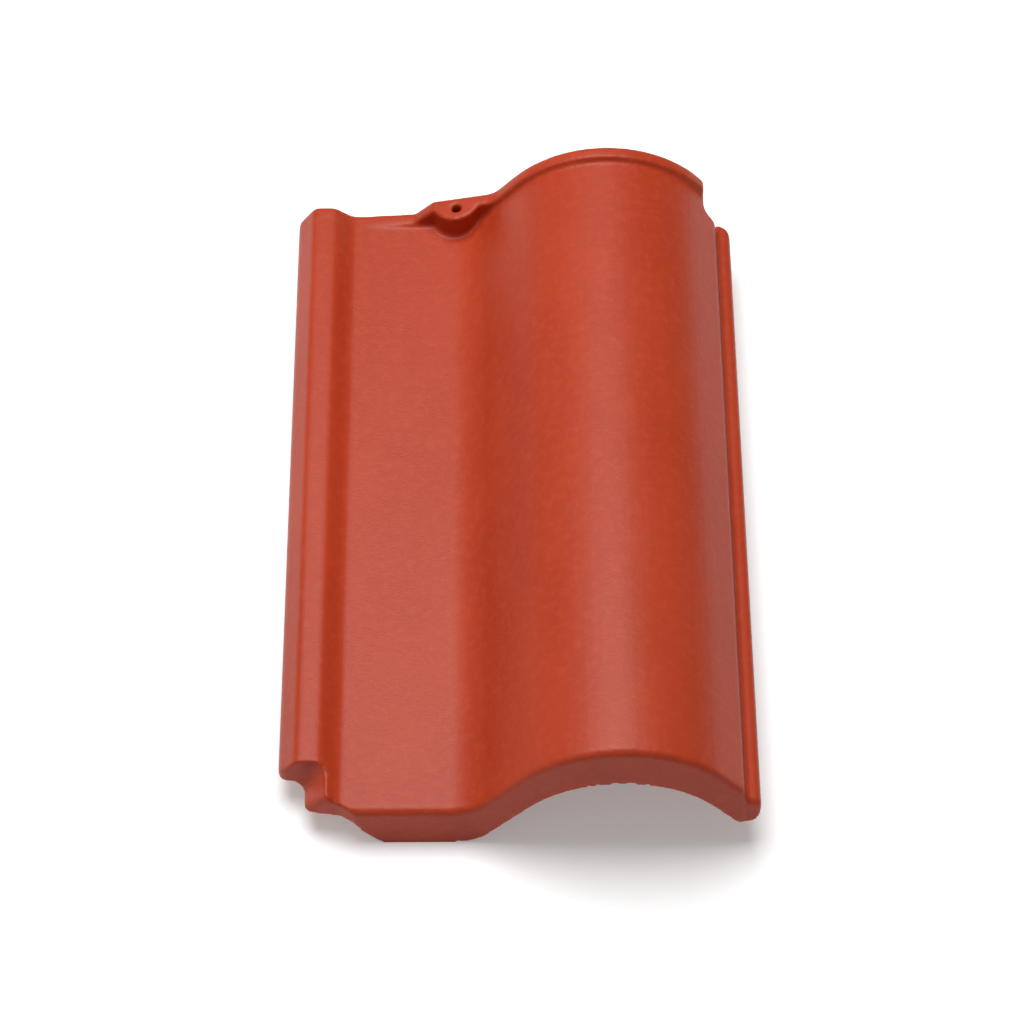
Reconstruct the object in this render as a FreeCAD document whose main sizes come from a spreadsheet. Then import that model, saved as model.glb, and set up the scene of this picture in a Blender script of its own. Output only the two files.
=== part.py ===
"""Single-roll interlocking roof tile, pressed from clay in one piece.

The tile lies as it would on a level floor: +Z up, +Y from the foot (the nose that laps the course
below) to the head, +X from the side rib towards the roll. The origin is on the floor, midway along
the width and midway between the nose and the head. Millimetres and degrees.
"""
import FreeCAD, Part
import math
import os

import Sketcher

CUT_OVERRUN = 5.0       # how far a cutting outline runs past the tile's edge
SKIN = 1.0              # the same where another part of the tile is close
SHORT_RUN = 0.4         # the straight run left between two rounds that would otherwise meet
EDGE_TOLERANCE = 0.01   # how near an edge must lie to the plane it is chosen by

SIZES = {
    # whole tile
    "length": 423.3,             # nose's lower edge to head edge
    "width": 257.5,
    "thickness": 12.0,
    "pan_level": 26.0,           # top of the flat pan above the floor
    "edge_round": 2.5,
    "head_round": 2.0,
    # side rib
    "rib_height": 8.0,
    "rib_start": 10.0,           # left edge to the rib's top left corner
    "rib_end": 22.6,             # left edge to the rib's top right corner
    "rib_slope": 38.0,
    "rib_round": 8.0,
    "rib_foot_round": 10.0,
    # roll
    "crest_place": 74.0,         # right edge to the crest line
    "roll_height": 57.1,         # crest above the pan
    "roll_radius": 67.7,
    "flank_angle": 50.0,
    "valley_round": 28.0,
    # right flange
    "flange_width": 9.5,
    "flange_height": 10.0,       # above the pan
    "flange_thickness": 11.0,
    "flange_draft": 1.0,         # how far the step beside it leans
    "flange_fall": 1.0,          # fall of its top towards the edge
    "flange_round": 4.0,
    # nose: the thick downturned edge at the foot
    "nose_thickness": 13.0,
    "nose_lean": 6.0,            # from upright
    "nose_bevel": 2.4,           # top edge to where its bevel starts
    "nose_bevel_angle": 50.0,
    "nose_start": 41.5,          # left edge to where the nose starts to drop
    "nose_ramp": 12.5,
    "nose_arch_drop": 26.4,      # crest to the arch under it
    "nose_arch_inset": 3.7,      # how much tighter the arch turns than the roll
    "nose_valley_round": 22.0,
    "nose_tip_round": 7.7,
    # raised bead along the head
    "bead_height": 3.4,
    "bead_width": 8.8,
    "bead_start": 25.5,          # boss centre to where the bead rises to it
    "lip_length": 31.0,          # the bead's low lip on the pan, beyond that
    "lip_height": 2.2,
    # nail boss
    "boss_place": 88.5,          # crest line to the boss centre and its hole
    "boss_setback": 4.0,         # head edge to the boss centre
    "boss_radius": 13.5,
    "boss_low": 13.0,            # top above the pan, on the rib's side
    "boss_high": 20.5,           # the same where the top runs into the roll
    "nail_hole": 5.8,            # diameter
    "nail_setback": 8.6,
    # corner cut at the foot of the rib
    "rib_setback": 27.0,
    "foot_cut_low": 12.5,        # left edge to the leaning side wall, at the tile's underside
    "foot_cut_high": 32.5,       # the same, just above the rib
    "foot_step_setback": 7.5,
    "foot_step_slant": 2.8,
    "rib_end_round": 5.0,
    "foot_cut_round": 8.0,
    "foot_step_round": 6.0,
    # corner cut at the head of the roll
    "head_cut_width": 16.0,
    "head_cut_depth": 21.0,
    "head_cut_round": 6.5,
    "flange_setback": 17.5,      # head edge to the flange's end
    "flange_end_round": 7.5,
    # batten nibs on the underside
    "nib_setback": 44.0,         # head edge to the face that hangs on the batten
    "nib_depth": 18.0,
    "pan_nib_place": 57.0,
    "pan_nib_width": 34.0,
    "roll_nib_width": 20.0,
}


class Size:
    """A number together with the sheet formula that gives it, so that sums of sizes stay bound."""

    def __init__(self, value, text):
        self.value = value
        self.text = text

    @staticmethod
    def of(other):
        return other if isinstance(other, Size) else Size(float(other), repr(float(other)))

    def join(self, sign, other, value):
        return Size(value, "(%s %s %s)" % (self.text, sign, Size.of(other).text))

    def __add__(self, other):
        return self.join("+", other, self.value + Size.of(other).value)

    def __sub__(self, other):
        return self.join("-", other, self.value - Size.of(other).value)

    def __mul__(self, other):
        return self.join("*", other, self.value * Size.of(other).value)

    def __truediv__(self, other):
        return self.join("/", other, self.value / Size.of(other).value)

    def __neg__(self):
        return Size(-self.value, "(0 - %s)" % self.text)


def tangent(angle):
    return Size(math.tan(math.radians(angle.value)), "tan(%s)" % angle.text)


def cosine(angle):
    return Size(math.cos(math.radians(angle.value)), "cos(%s)" % angle.text)


def make_sheet(doc):
    sheet = doc.addObject("Spreadsheet::Sheet", "Sizes")
    for row, (name, value) in enumerate(SIZES.items(), start=1):
        sheet.set("A%d" % row, name)
        sheet.set("B%d" % row, str(value))
        sheet.setAlias("B%d" % row, name)
    doc.recompute()
    return sheet


def size(name):
    return Size(SIZES[name], "Sizes.%s" % name)


def make_sketch(body, name, plane):
    sketch = body.newObject("Sketcher::SketchObject", name)
    origin_plane = [item for item in body.Origin.OriginFeatures if item.Role == plane][0]
    sketch.AttachmentSupport = [(origin_plane, "")]
    sketch.MapMode = "FlatFace"
    return sketch


def bind(sketch, constraints, formulas):
    """Add the constraints, and tie each one that has a formula to the sheet."""
    first = len(sketch.Constraints)
    sketch.addConstraint(constraints)
    for number, formula in enumerate(formulas):
        if formula:
            sketch.setExpression("Constraints[%d]" % (first + number), formula)


def corner_reach(points, index, radius):
    """Tangent points of a round at one corner, and the arc's middle point."""
    corner = points[index]
    back = (points[index - 1] - corner).normalize()
    ahead = (points[(index + 1) % len(points)] - corner).normalize()
    half = back.getAngle(ahead) / 2
    reach = radius / math.tan(half)
    bisector = (back + ahead).normalize()
    middle = corner + bisector * (radius / math.sin(half) - radius)
    return corner + back * reach, middle, corner + ahead * reach


def draw_outline(sketch, corners):
    """Draw a closed outline of straight runs with rounded corners.

    Each corner is (across, up, radius); the radius is None where the corner stays sharp.
    """
    points = [FreeCAD.Vector(across.value, up.value, 0) for across, up, radius in corners]
    rounds = [corner_reach(points, index, corner[2].value) if corner[2] else (points[index],) * 3
              for index, corner in enumerate(corners)]
    count = len(corners)
    lines = [Part.LineSegment(rounds[index][2], rounds[(index + 1) % count][0])
             for index in range(count)]
    sketch.addGeometry(lines, False)
    constraints = []
    formulas = []
    for index, (across, up, radius) in enumerate(corners):
        line_in = (index - 1) % count
        line_out = index
        if radius:
            arc = sketch.addGeometry(Part.Arc(*rounds[index]), False)
            starts_at_line_in = sketch.getPoint(arc, 1).isEqual(rounds[index][0], 1e-6)
            arc_in, arc_out = (1, 2) if starts_at_line_in else (2, 1)
            mark = sketch.addGeometry(Part.Point(points[index]), True)
            constraints += [Sketcher.Constraint("Tangent", line_in, 2, arc, arc_in),
                            Sketcher.Constraint("Tangent", arc, arc_out, line_out, 1),
                            Sketcher.Constraint("PointOnObject", mark, 1, line_in),
                            Sketcher.Constraint("PointOnObject", mark, 1, line_out),
                            Sketcher.Constraint("Radius", arc, radius.value)]
            formulas += [None, None, None, None, radius.text]
            place = (mark, 1)
        else:
            constraints.append(Sketcher.Constraint("Coincident", line_in, 2, line_out, 1))
            formulas.append(None)
            place = (line_out, 1)
        constraints += [Sketcher.Constraint("DistanceX", -1, 1, place[0], place[1], across.value),
                        Sketcher.Constraint("DistanceY", -1, 1, place[0], place[1], up.value)]
        formulas += [across.text, up.text]
    bind(sketch, constraints, formulas)


def place_across(from_left):
    return from_left - size("width") / 2


def crest_across():
    return size("width") / 2 - size("crest_place")


def boss_across():
    return crest_across() - size("boss_place")


def apex_height(radius, crest):
    """Height at which two flank lines tangent to the crest's circle would meet."""
    return crest - radius + radius / cosine(size("flank_angle"))


def roll_corners(depth):
    """Valley and apex corners of the line that runs at one depth under the top surface."""
    flank = tangent(size("flank_angle"))
    half_turn = tangent(size("flank_angle") / 2)
    radius = size("roll_radius") - depth
    crest = size("pan_level") + size("roll_height") - depth
    apex = apex_height(radius, crest)
    pan = size("pan_level") - depth
    valley = crest_across() - (apex - pan) / flank
    return [(valley, pan, size("valley_round") + depth), (crest_across(), apex, radius)]


def flank_height(across, depth):
    """Height of the right flank line at one depth under the top surface."""
    apex = roll_corners(depth)[1]
    return apex[1] - (across - apex[0]) * tangent(size("flank_angle"))


def flank_across(height, depth):
    """Place of the right flank line, at one depth, where it reaches a height."""
    apex = roll_corners(depth)[1]
    return apex[0] + (apex[1] - height) / tangent(size("flank_angle"))


def rib_corners():
    pan = size("pan_level")
    top = pan + size("rib_height")
    run = size("rib_height") / tangent(size("rib_slope"))
    left = place_across(Size.of(0))
    return [(left, pan - size("thickness"), size("edge_round")),
            (left, pan - size("thickness") / 2, size("rib_foot_round")),
            (place_across(size("rib_start")), top, size("edge_round") * 2),
            (place_across(size("rib_end")), top, size("rib_round")),
            (place_across(size("rib_end") + run), pan, size("rib_foot_round"))]


def flange_corners(depth):
    """The step from the roll down to the flange, and the flange's top, at one depth."""
    right = size("width") / 2
    inner = right - size("flange_width")
    top = size("pan_level") + size("flange_height") - depth
    return [(inner, flank_height(inner, depth), size("edge_round") / 2),
            (inner + size("flange_draft"), top, size("edge_round") / 2),
            (right, top - size("flange_fall"), size("flange_round"))]


def section_corners():
    """The tile's cross-section: rib, pan, roll and flange, then back along the underside."""
    right = size("width") / 2
    under = size("thickness")
    flange_under = size("pan_level") + size("flange_height") - size("flange_thickness")
    underside = [(right, flange_under, size("flange_round")),
                 (flank_across(flange_under, under), flange_under, size("edge_round"))]
    surface = roll_corners(Size.of(0)) + flange_corners(Size.of(0))
    return rib_corners() + surface + underside \
        + roll_corners(under)[::-1]


def nose_corners():
    """The nose's downturned part: its lower edge, closed inside the tile's body."""
    floor = Size.of(0)
    right = size("width") / 2
    middle = size("thickness") / 2
    radius = size("roll_radius") - size("nose_arch_inset")
    crest = size("pan_level") + size("roll_height") - size("nose_arch_drop")
    apex = apex_height(radius, crest)
    flank = tangent(size("flank_angle"))
    start = place_across(size("nose_start"))
    inside = roll_corners(middle)
    flange_middle = size("pan_level") + size("flange_height") - size("flange_thickness") / 2
    return [(start, size("pan_level") - middle, None),
            (start, size("pan_level") - size("thickness"), None),
            (start + size("nose_ramp"), floor, size("edge_round") * 2),
            (crest_across() - apex / flank, floor, size("nose_valley_round")),
            (crest_across(), apex, radius),
            (right, apex - (right - crest_across()) * flank, size("nose_tip_round")),
            (right, flange_middle, None),
            (flank_across(flange_middle, middle), flange_middle, None),
            inside[1],
            inside[0]]


def front_cut_corners(drop):
    """Everything above a line that runs a skin clear of the top surface, once it is dropped."""
    past = size("width") / 2 + CUT_OVERRUN
    clear = Size.of(-SKIN)
    pan = size("pan_level")
    step_top, step_foot, flange_end = flange_corners(clear)
    line = [(-past, pan - clear, None)] + roll_corners(clear) \
        + [step_top, step_foot, (past, flange_end[1], None)]
    above = pan + size("roll_height") + CUT_OVERRUN
    return [(across, up - drop, radius) for across, up, radius in line] \
        + [(past, above, None), (-past, above, None)]


def boss_top_ends():
    """The two ends of the boss's top line at the head edge: over the wing, and on the roll."""
    flank = tangent(size("flank_angle"))
    low = size("pan_level") + size("boss_low")
    high = size("pan_level") + size("boss_high")
    apex = roll_corners(-size("bead_height"))[1]
    start = boss_across() - size("bead_start")
    return [(start + size("boss_low") / flank, low),
            (apex[0] - (apex[1] - high) / flank, high)]


def bead_corners():
    """The raised bead along the head: a low lip on the pan, a rise to the boss, then the roll."""
    raised = -size("bead_height")
    inside = size("thickness") / 4
    pan = size("pan_level")
    start = boss_across() - size("bead_start")
    end = size("width") / 2 - size("head_cut_width")
    wing, join = boss_top_ends()
    return [(start - size("lip_length"), pan - inside, None),
            (start - size("lip_length"), pan, None),
            (start, pan + size("lip_height"), None),
            wing + (size("edge_round"),),
            join + (size("boss_radius"),),
            roll_corners(raised)[1],
            (end, flank_height(end, raised), None),
            (end, flank_height(end, inside), None)] + roll_corners(inside)[::-1]


def boss_top_corners():
    """Everything above the boss's top line, which slopes up across the tile."""
    wing, join = boss_top_ends()
    left = boss_across() - size("boss_radius") - SKIN
    right = boss_across() + size("boss_radius") + SKIN
    rise = (join[1] - wing[1]) / (join[0] - wing[0])
    above = join[1] + CUT_OVERRUN
    return [(left, wing[1] + (left - wing[0]) * rise, None),
            (right, wing[1] + (right - wing[0]) * rise, None),
            (right, above, None), (left, above, None)]


def boss_front():
    """Head edge to the front of the nail boss."""
    return size("boss_setback") + size("boss_radius")


def boss_corners():
    """Plan of the nail boss: straight sides from the head edge, and a half-round front."""
    middle = boss_across()
    radius = size("boss_radius")
    head = size("length") / 2
    front = head - boss_front()
    left = middle - radius
    right = middle + radius
    corner = radius - SHORT_RUN / 2
    return [(left, head, None), (left, front, corner), (right, front, corner), (right, head, None)]


def foot_cut_corners(wall_from_left):
    """Plan of the corner cut in front of the rib, for one place of its leaning side wall."""
    left = place_across(Size.of(0))
    nose = foot_edge()
    outside = -size("length") / 2 - CUT_OVERRUN * 2
    wall = place_across(wall_from_left)
    rib_end = nose + size("rib_setback")
    step = nose + size("foot_step_setback")
    front = step - size("foot_step_slant")
    bevel_start = place_across(size("nose_start") - size("foot_step_setback"))
    bevel_slope = size("foot_step_setback") / (front - nose)
    bevel_end = bevel_start + (front - outside) * bevel_slope
    corner = size("rib_end_round")
    return [(left - CUT_OVERRUN, outside, None),
            (left - CUT_OVERRUN, rib_end + corner * 2, None),
            (left, rib_end + corner * 2, None),
            (left, rib_end, corner),
            (wall, rib_end, size("foot_cut_round")),
            (wall, step, size("foot_step_round")),
            (bevel_start, front, None),
            (bevel_end, outside, None)]


def head_cut_corners():
    """Plan of the corner cut at the head of the roll, and the flange's rounded end."""
    right = size("width") / 2
    past = right + CUT_OVERRUN
    outside = size("length") / 2 + CUT_OVERRUN
    wall = right - size("head_cut_width")
    step = right - size("flange_width") + size("flange_draft") / 2
    roll_end = size("length") / 2 - size("head_cut_depth")
    flange_end = size("length") / 2 - size("flange_setback")
    corner = size("flange_end_round")
    return [(wall, outside, None), (wall, roll_end, size("head_cut_round")),
            (step, roll_end, None), (step, flange_end, None), (right, flange_end, corner),
            (right, flange_end - corner * 2, None), (past, flange_end - corner * 2, None),
            (past, outside, None)]


def pan_nib_corners():
    middle = place_across(size("pan_nib_place"))
    half = size("pan_nib_width") / 2
    top = size("pan_level") - size("thickness") / 2
    return [(middle - half, Size.of(0), size("edge_round")),
            (middle + half, Size.of(0), size("edge_round")),
            (middle + half, top, None), (middle - half, top, None)]


def roll_nib_corners():
    inside = size("thickness") / 2
    right = size("width") / 2 - size("flange_round")
    left = right - size("roll_nib_width")
    top = size("pan_level") + size("flange_height") - size("flange_thickness") / 2
    return [(left, Size.of(0), size("edge_round")), (right, Size.of(0), size("edge_round")),
            (right, top, None), (flank_across(top, inside), top, None),
            (left, flank_height(left, inside), None)]


def lean_run():
    """How far the nose's lower edge stands in front of its top edge."""
    return size("pan_level") * tangent(size("nose_lean"))


def foot_edge():
    return -size("length") / 2 + lean_run()


def add_sketch(body, name, plane, offset, corners):
    """A closed outline on a plane of the body, moved along the plane's normal."""
    sketch = make_sketch(body, name, plane)
    sketch.AttachmentOffset = FreeCAD.Placement(FreeCAD.Vector(0, 0, offset.value),
                                                FreeCAD.Rotation())
    sketch.setExpression("AttachmentOffset.Base.z", offset.text)
    draw_outline(sketch, corners)
    body.Document.recompute()
    return sketch


def add_feature(body, kind, name, sketch, length, backwards=False):
    feature = body.newObject("PartDesign::" + kind, name)
    feature.Profile = sketch
    feature.Reversed = backwards
    feature.setExpression("Length", length.text)
    body.Document.recompute()
    return feature


def build_section(body):
    """Pad the cross-section along the whole length, from the nose's lower edge to the head."""
    foot = size("length") / 2 + CUT_OVERRUN
    section = add_sketch(body, "Section", "XZ_Plane", foot, section_corners())
    add_feature(body, "Pad", "Tile", section, size("length") + CUT_OVERRUN, True)
    nose = add_sketch(body, "NoseSection", "XZ_Plane", foot, nose_corners())
    nose_length = size("nose_thickness") + lean_run() + CUT_OVERRUN
    add_feature(body, "Pad", "Nose", nose, nose_length, True)


def cut_between(body, name, first, second):
    """Cut away the space between two outlines."""
    cut = body.newObject("PartDesign::SubtractiveLoft", name)
    cut.Profile = first
    cut.Sections = [second]
    cut.Ruled = True
    body.Document.recompute()


def cut_nose_face(body, name, start, angle):
    """Cut the nose to a face that falls from the top surface, at an angle from upright."""
    behind = start + tangent(angle) * SKIN
    outside = -size("length") / 2 - CUT_OVERRUN
    fall = (behind - outside) / tangent(angle)
    back = add_sketch(body, name + "Back", "XZ_Plane", -behind, front_cut_corners(Size.of(0)))
    front = add_sketch(body, name + "Front", "XZ_Plane", -outside, front_cut_corners(fall))
    cut_between(body, name, back, front)


def shape_nose(body):
    """The nose's face leans forward towards its foot, and its top edge is broken by a bevel."""
    cut_nose_face(body, "NoseFace", foot_edge(), size("nose_lean"))
    cut_nose_face(body, "NoseBevel", foot_edge() + size("nose_bevel"), size("nose_bevel_angle"))


def build_head(body):
    """The nail boss, and the bead that runs over it along the head."""
    head = size("length") / 2
    base = size("pan_level") - size("thickness") / 2
    boss = add_sketch(body, "BossPlan", "XY_Plane", base, boss_corners())
    add_feature(body, "Pad", "Boss", boss, size("thickness") / 2 + size("boss_high"))
    top = add_sketch(body, "BossTopOutline", "XZ_Plane", -head, boss_top_corners())
    add_feature(body, "Pocket", "BossTop", top, boss_front() + CUT_OVERRUN, True)
    bead = add_sketch(body, "BeadSection", "XZ_Plane", -head, bead_corners())
    add_feature(body, "Pad", "Bead", bead, size("bead_width"))


def build_nibs(body):
    """Two nibs that hang the tile on its batten and level it on a floor."""
    hanging_face = size("nib_setback") - size("length") / 2
    for name, corners in (("PanNib", pan_nib_corners()), ("RollNib", roll_nib_corners())):
        outline = add_sketch(body, name + "Section", "XZ_Plane", hanging_face, corners)
        add_feature(body, "Pad", name, outline, size("nib_depth"), True)


def cut_corners(body):
    """The stepped cut at the foot of the rib and the square one at the head of the roll."""
    top = size("pan_level") + size("roll_height") + CUT_OVERRUN
    head = add_sketch(body, "HeadCutPlan", "XY_Plane", top, head_cut_corners())
    add_feature(body, "Pocket", "HeadCut", head, top + CUT_OVERRUN)
    underside = size("pan_level") - size("thickness")
    low = add_sketch(body, "FootCutLow", "XY_Plane", underside - SKIN,
                     foot_cut_corners(size("foot_cut_low")))
    high = add_sketch(body, "FootCutHigh", "XY_Plane",
                      size("pan_level") + size("rib_height") + CUT_OVERRUN,
                      foot_cut_corners(size("foot_cut_high")))
    cut_between(body, "FootCut", low, high)


def drill_nail_hole(body):
    sketch = make_sketch(body, "NailHolePlan", "XY_Plane")
    top = size("pan_level") + size("roll_height")
    sketch.AttachmentOffset = FreeCAD.Placement(FreeCAD.Vector(0, 0, top.value),
                                                FreeCAD.Rotation())
    sketch.setExpression("AttachmentOffset.Base.z", top.text)
    across = boss_across()
    along = size("length") / 2 - size("nail_setback")
    radius = size("nail_hole") / 2
    centre = FreeCAD.Vector(across.value, along.value, 0)
    circle = sketch.addGeometry(Part.Circle(centre, FreeCAD.Vector(0, 0, 1), radius.value), False)
    bind(sketch, [Sketcher.Constraint("DistanceX", -1, 1, circle, 3, across.value),
                  Sketcher.Constraint("DistanceY", -1, 1, circle, 3, along.value),
                  Sketcher.Constraint("Radius", circle, radius.value)],
         [across.text, along.text, radius.text])
    add_feature(body, "Pocket", "NailHole", sketch, top)


def round_head(body):
    """Round the edges of the head end, above and below."""
    head = SIZES["length"] / 2
    finished = body.Tip
    names = ["Edge%d" % number for number, edge in enumerate(finished.Shape.Edges, start=1)
             if edge.BoundBox.YMin > head - EDGE_TOLERANCE]
    rounding = body.newObject("PartDesign::Fillet", "HeadRound")
    rounding.Base = (finished, names)
    rounding.setExpression("Radius", "Sizes.head_round")
    body.Document.recompute()


def check(doc, body):
    """Stop if anything in the document failed to build."""
    for item in doc.Objects:
        if "Invalid" in item.State or "Error" in item.State:
            raise RuntimeError("%s did not build: %s" % (item.Name, item.State))
    if body.Shape.isNull() or not body.Shape.isValid() or len(body.Shape.Solids) != 1:
        raise RuntimeError("%s is not one valid solid" % body.Label)


def main():
    os.makedirs("parts", exist_ok=True)
    doc = FreeCAD.newDocument("RoofTile")
    make_sheet(doc)
    body = doc.addObject("PartDesign::Body", "RoofTile")
    body.Label = "roof_tile"
    build_section(body)
    shape_nose(body)
    build_nibs(body)
    build_head(body)
    cut_corners(body)
    drill_nail_hole(body)
    round_head(body)
    doc.recompute()
    check(doc, body)
    body.Shape.exportStep("parts/%s.step" % body.Label)


main()
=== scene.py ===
import bpy
import bmesh
import math
from mathutils import Euler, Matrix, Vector


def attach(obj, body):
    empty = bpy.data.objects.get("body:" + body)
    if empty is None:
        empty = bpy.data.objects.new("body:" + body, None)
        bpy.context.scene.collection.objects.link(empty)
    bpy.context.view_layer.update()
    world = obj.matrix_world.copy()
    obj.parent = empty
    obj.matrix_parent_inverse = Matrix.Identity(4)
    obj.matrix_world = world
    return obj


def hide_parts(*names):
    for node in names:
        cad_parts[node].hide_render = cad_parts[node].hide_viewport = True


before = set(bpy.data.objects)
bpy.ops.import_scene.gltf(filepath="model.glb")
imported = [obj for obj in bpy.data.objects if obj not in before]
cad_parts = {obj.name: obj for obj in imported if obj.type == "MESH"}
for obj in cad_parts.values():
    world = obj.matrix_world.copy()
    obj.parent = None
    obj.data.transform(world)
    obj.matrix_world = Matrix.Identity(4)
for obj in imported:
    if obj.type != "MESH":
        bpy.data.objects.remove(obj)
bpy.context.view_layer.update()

MM = 0.001

# the pressed body
MERGE_DISTANCE = 0.001 * MM
SKIN_STEP = 1.15 * MM
SOFTENING = 0.5
SOFTENING_PASSES = 7
FACES_KEPT = 0.37

# finishes
ENGOBE = (0.45, 0.046, 0.013)
ENGOBE_THIN = (0.49, 0.062, 0.022)
ENGOBE_THICK = (0.415, 0.039, 0.010)
BARE_CLAY = (0.56, 0.20, 0.105)
CLAY_PALE = (0.64, 0.27, 0.15)
CLAY_IRON = (0.20, 0.075, 0.045)
ENGOBE_ROUGHNESS = 0.36
LEATHER_ROUGHNESS = 0.12
CLAY_ROUGHNESS = 0.85
SHEEN = 0.26
RELIEF_DEPTH = 0.16 * MM

# studio
FLOOR_HALF = 20.0
FLOOR_WHITE = 0.93
FLOOR_GLOW = 0.24
SKY_RIB_SIDE = 0.34
SKY_ROLL_SIDE = 0.07
SOFTBOX_SIZE = 1.35
SOFTBOX_POWER = 42.0
SOFTBOX_PLACE = (-0.16, 0.50, 1.92)

# camera: a long lens from in front of the foot, looking down on the tile
CAMERA_ELEVATION = 53.42
CAMERA_TURN = 0.42
CAMERA_TILT = -0.09
CAMERA_DISTANCE = 2.009
CAMERA_AIM = (-0.0021, -0.0108, 0.026)
CAMERA_LENS = 125.37


class Maths:
    """A shader value that adds a Math node wherever it is used in a sum."""

    def __init__(self, shader, socket):
        self.shader = shader
        self.socket = socket

    def join(self, operation, *values):
        made = self.shader.node("ShaderNodeMath", {"operation": operation}, *values)
        return Maths(self.shader, made.outputs[0])

    def __add__(self, other):
        return self.join("ADD", self, other)

    def __radd__(self, other):
        return self.join("ADD", other, self)

    def __sub__(self, other):
        return self.join("SUBTRACT", self, other)

    def __rsub__(self, other):
        return self.join("SUBTRACT", other, self)

    def __mul__(self, other):
        return self.join("MULTIPLY", self, other)

    def __rmul__(self, other):
        return self.join("MULTIPLY", other, self)

    def __abs__(self):
        return self.join("ABSOLUTE", self)


class Shader:
    """The nodes of a material or of the sky, which all lead to its surface node."""

    def __init__(self, owner, surface):
        owner.use_nodes = True
        self.owner = owner
        self.tree = owner.node_tree
        self.surface = self.tree.nodes[surface]

    @classmethod
    def of_material(cls, name):
        return cls(bpy.data.materials.new(name), "Principled BSDF")

    def node(self, kind, settings, *in_order, **by_name):
        """Add a node: its settings first, then a value or a link for each socket."""
        made = self.tree.nodes.new(kind)
        for name, value in settings.items():
            setattr(made, name, value)
        for socket, value in zip(made.inputs, in_order):
            self.feed(socket, value)
        for name, value in by_name.items():
            self.feed(made.inputs[name.replace("_", " ")], value)
        return made

    def feed(self, socket, value):
        if isinstance(value, Maths):
            value = value.socket
        if isinstance(value, bpy.types.NodeSocket):
            self.tree.links.new(value, socket)
        else:
            socket.default_value = value

    def finish(self, **sockets):
        """Set or link the sockets of the surface itself."""
        for name, value in sockets.items():
            self.feed(self.surface.inputs[name.replace("_", " ")], value)

    def point(self, stretch=(1, 1, 1)):
        """The place on the piece, pulled out along an axis where its stretch is under 1."""
        place = self.node("ShaderNodeTexCoord", {}).outputs["Object"]
        return self.node("ShaderNodeMapping", {}, Vector=place, Scale=stretch).outputs[0]

    def height_turned(self):
        """How far the surface faces up, from -1 to 1."""
        facing = self.node("ShaderNodeTexCoord", {}).outputs["Normal"]
        return Maths(self, self.node("ShaderNodeSeparateXYZ", {}, facing).outputs["Z"])

    def grain(self, size, detail=3.0, roughness=0.55, stretch=(1, 1, 1), bend=0.0):
        """Cloudy noise whose lumps are about as wide as the size."""
        made = self.node("ShaderNodeTexNoise", {}, Vector=self.point(stretch), Scale=1 / size,
                         Detail=detail, Roughness=roughness, Distortion=bend)
        return Maths(self, made.outputs["Fac"])

    def specks(self, spacing):
        """Distance to the nearest of some scattered points, as a share of their spacing."""
        made = self.node("ShaderNodeTexVoronoi", {}, Vector=self.point(), Scale=1 / spacing)
        return Maths(self, made.outputs["Distance"])

    def between(self, value, low, high):
        """0 at the low limit, 1 at the high one, and smooth in between."""
        made = self.node("ShaderNodeMapRange", {"interpolation_type": "SMOOTHSTEP"}, value, low, high)
        return Maths(self, made.outputs[0])

    def blend(self, amount, first, second):
        """One colour turning into another."""
        made = self.node("ShaderNodeMix", {"data_type": "RGBA"}, Factor=amount)
        self.feed(made.inputs[6], first)
        self.feed(made.inputs[7], second)
        return made.outputs[2]

    def relief(self, height, depth):
        """A bumped normal, for a height that runs from 0 to 1 over the depth."""
        return self.node("ShaderNodeBump", {}, Height=height, Distance=depth).outputs["Normal"]


def colour(red, green, blue):
    return (red, green, blue, 1.0)


def grey(value):
    return (value, value, value, 1.0)


def mix(amount, first, second):
    return first + amount * (second - first)


def engobed_clay():
    """Satin red engobe sprayed on from above, over clay that stays bare underneath."""
    shader = Shader.of_material("red_engobe_on_clay")
    overspray = shader.grain(6 * MM, detail=4.0)
    bare = shader.between(shader.height_turned() + 0.35 * overspray, -0.02, -0.28)

    broad = shader.grain(45 * MM, stretch=(1, 0.45, 1))
    small = shader.grain(5 * MM)
    engobe = shader.blend(shader.between(broad, 0.3, 0.7), colour(*ENGOBE_THICK), colour(*ENGOBE))
    engobe = shader.blend(0.55 * shader.between(small, 0.4, 0.8), engobe, colour(*ENGOBE_THIN))
    clay = shader.blend(shader.between(broad, 0.3, 0.7), colour(*BARE_CLAY), colour(*CLAY_PALE))
    iron = shader.between(shader.specks(7 * MM), 0.13, 0.07)
    clay = shader.blend(0.8 * iron, clay, colour(*CLAY_IRON))

    wrinkles = 1 - abs(2 * shader.grain(3.0 * MM, detail=2.0, stretch=(0.6, 1.2, 1), bend=0.8) - 1)
    leather = shader.grain(1.3 * MM, detail=2.0)
    press_lines = shader.grain(2.5 * MM, stretch=(1, 0.05, 1))
    skin = 0.6 * wrinkles + 0.4 * leather
    sand = 0.5 * shader.grain(0.8 * MM) + 0.5 * press_lines
    shader.finish(Base_Color=shader.blend(bare, engobe, clay),
                  Roughness=mix(bare, ENGOBE_ROUGHNESS + LEATHER_ROUGHNESS * leather, CLAY_ROUGHNESS),
                  Specular_IOR_Level=SHEEN,
                  Normal=shader.relief(mix(bare, skin, sand), RELIEF_DEPTH))
    return shader.owner


def add_mesh(name, shape):
    """Turn a bmesh into an object of the scene."""
    mesh = bpy.data.meshes.new(name)
    shape.to_mesh(mesh)
    shape.free()
    piece = bpy.data.objects.new(name, mesh)
    bpy.context.scene.collection.objects.link(piece)
    return piece


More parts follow.
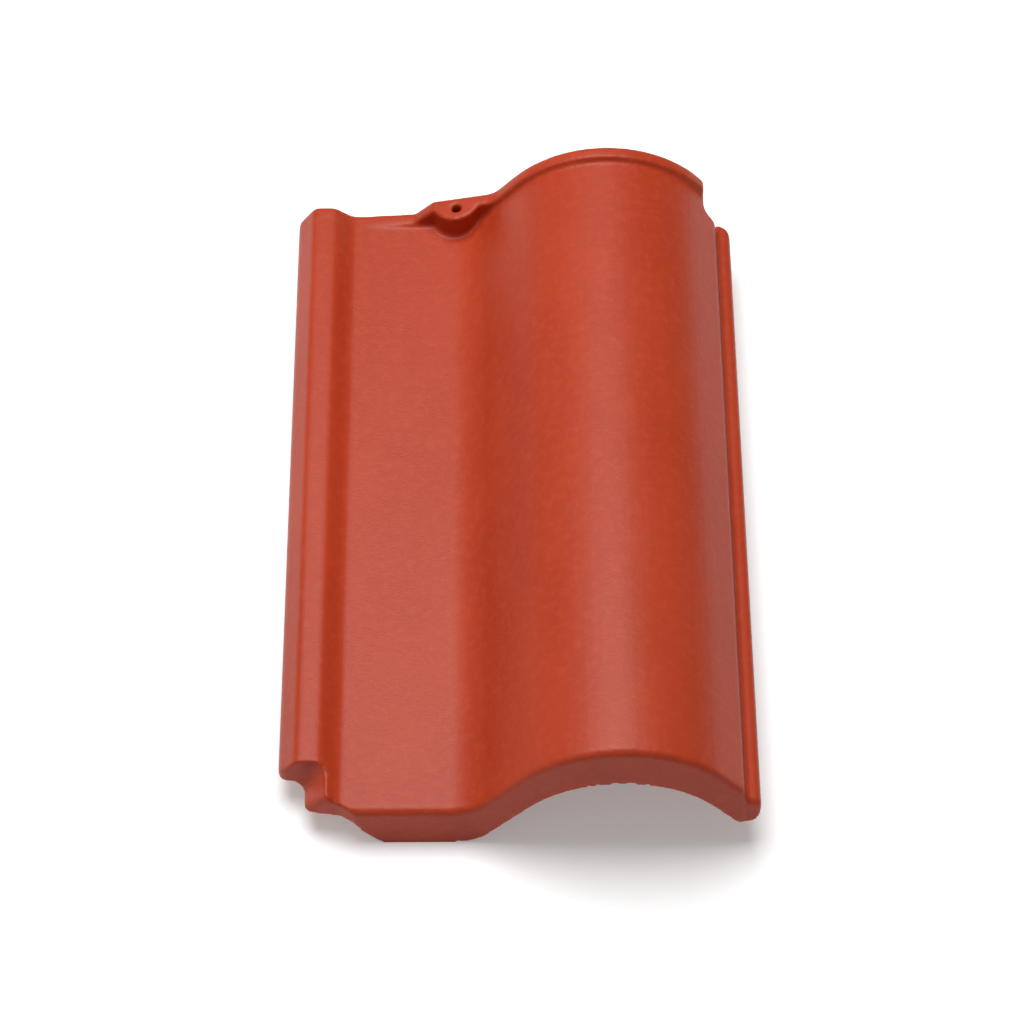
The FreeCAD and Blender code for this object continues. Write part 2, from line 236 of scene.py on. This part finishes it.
def pressed_tile(node):
    """The tile as it leaves the press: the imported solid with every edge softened."""
    shape = bmesh.new()
    shape.from_mesh(node.data)
    bmesh.ops.remove_doubles(shape, verts=shape.verts, dist=MERGE_DISTANCE)
    tile = add_mesh("pressed_tile", shape)
    skin = tile.modifiers.new("Skin", "REMESH")
    skin.mode = "VOXEL"
    skin.voxel_size = SKIN_STEP
    skin.use_smooth_shade = True
    soften = tile.modifiers.new("Soften", "SMOOTH")
    soften.factor = SOFTENING
    soften.iterations = SOFTENING_PASSES
    thin = tile.modifiers.new("Thin", "DECIMATE")
    thin.ratio = FACES_KEPT
    graph = bpy.context.evaluated_depsgraph_get()
    finished = bpy.data.meshes.new_from_object(tile.evaluated_get(graph))
    tile.modifiers.clear()
    tile.data = finished
    tile.data.materials.clear()
    tile.data.materials.append(engobed_clay())
    print(tile.name, len(finished.polygons), "faces")
    return tile


def white_paper():
    """Matt white paper with a glow that the tile isn't lit by, and the tile's shadow on it."""
    shader = Shader.of_material("white_paper")
    seen = shader.node("ShaderNodeLightPath", {}).outputs
    glow = Maths(shader, seen["Is Camera Ray"]) + Maths(shader, seen["Is Glossy Ray"]) \
        + Maths(shader, seen["Is Transmission Ray"])
    shader.finish(Base_Color=grey(FLOOR_WHITE), Roughness=1.0, Specular_IOR_Level=0.0,
                  Emission_Color=FLOOR_GLOW * glow, Emission_Strength=1.0)
    return shader.owner


def make_floor():
    shape = bmesh.new()
    bmesh.ops.create_grid(shape, x_segments=1, y_segments=1, size=FLOOR_HALF)
    floor = add_mesh("floor", shape)
    floor.data.materials.append(white_paper())


def make_softbox():
    """One large soft lamp, above and behind the tile and a little to its rib side."""
    data = bpy.data.lights.new("softbox", "AREA")
    data.shape = "SQUARE"
    data.size = SOFTBOX_SIZE
    data.energy = SOFTBOX_POWER
    softbox = bpy.data.objects.new("softbox", data)
    bpy.context.scene.collection.objects.link(softbox)
    softbox.location = SOFTBOX_PLACE
    softbox.rotation_euler = (-Vector(SOFTBOX_PLACE)).to_track_quat("-Z", "Y").to_euler()


def make_sky():
    """A dim sky, brighter on the rib side than on the roll side."""
    sky = Shader(bpy.data.worlds.new("studio"), "Background")
    direction = sky.node("ShaderNodeTexCoord", {}).outputs["Generated"]
    across = sky.node("ShaderNodeSeparateXYZ", {}, direction).outputs["X"]
    level = sky.node("ShaderNodeMapRange", {}, across, -1.0, 1.0, SKY_RIB_SIDE, SKY_ROLL_SIDE)
    sky.finish(Color=level.outputs[0])
    bpy.context.scene.world = sky.owner


def make_camera():
    elevation = math.radians(CAMERA_ELEVATION)
    turn = math.radians(CAMERA_TURN)
    forward = Vector((math.sin(turn) * math.cos(elevation), math.cos(turn) * math.cos(elevation),
                      -math.sin(elevation)))
    data = bpy.data.cameras.new("camera")
    data.lens = CAMERA_LENS
    camera = bpy.data.objects.new("camera", data)
    bpy.context.scene.collection.objects.link(camera)
    camera.rotation_mode = "QUATERNION"
    level = forward.to_track_quat("-Z", "Y")
    camera.rotation_quaternion = level @ Euler((0, 0, -math.radians(CAMERA_TILT))).to_quaternion()
    camera.location = Vector(CAMERA_AIM) - forward * CAMERA_DISTANCE
    bpy.context.scene.camera = camera


def main():
    tile = pressed_tile(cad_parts["roof_tile"])
    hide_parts("roof_tile")
    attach(tile, "root")
    make_floor()
    make_softbox()
    make_sky()
    make_camera()
    bpy.context.scene.view_settings.view_transform = "Standard"


main()
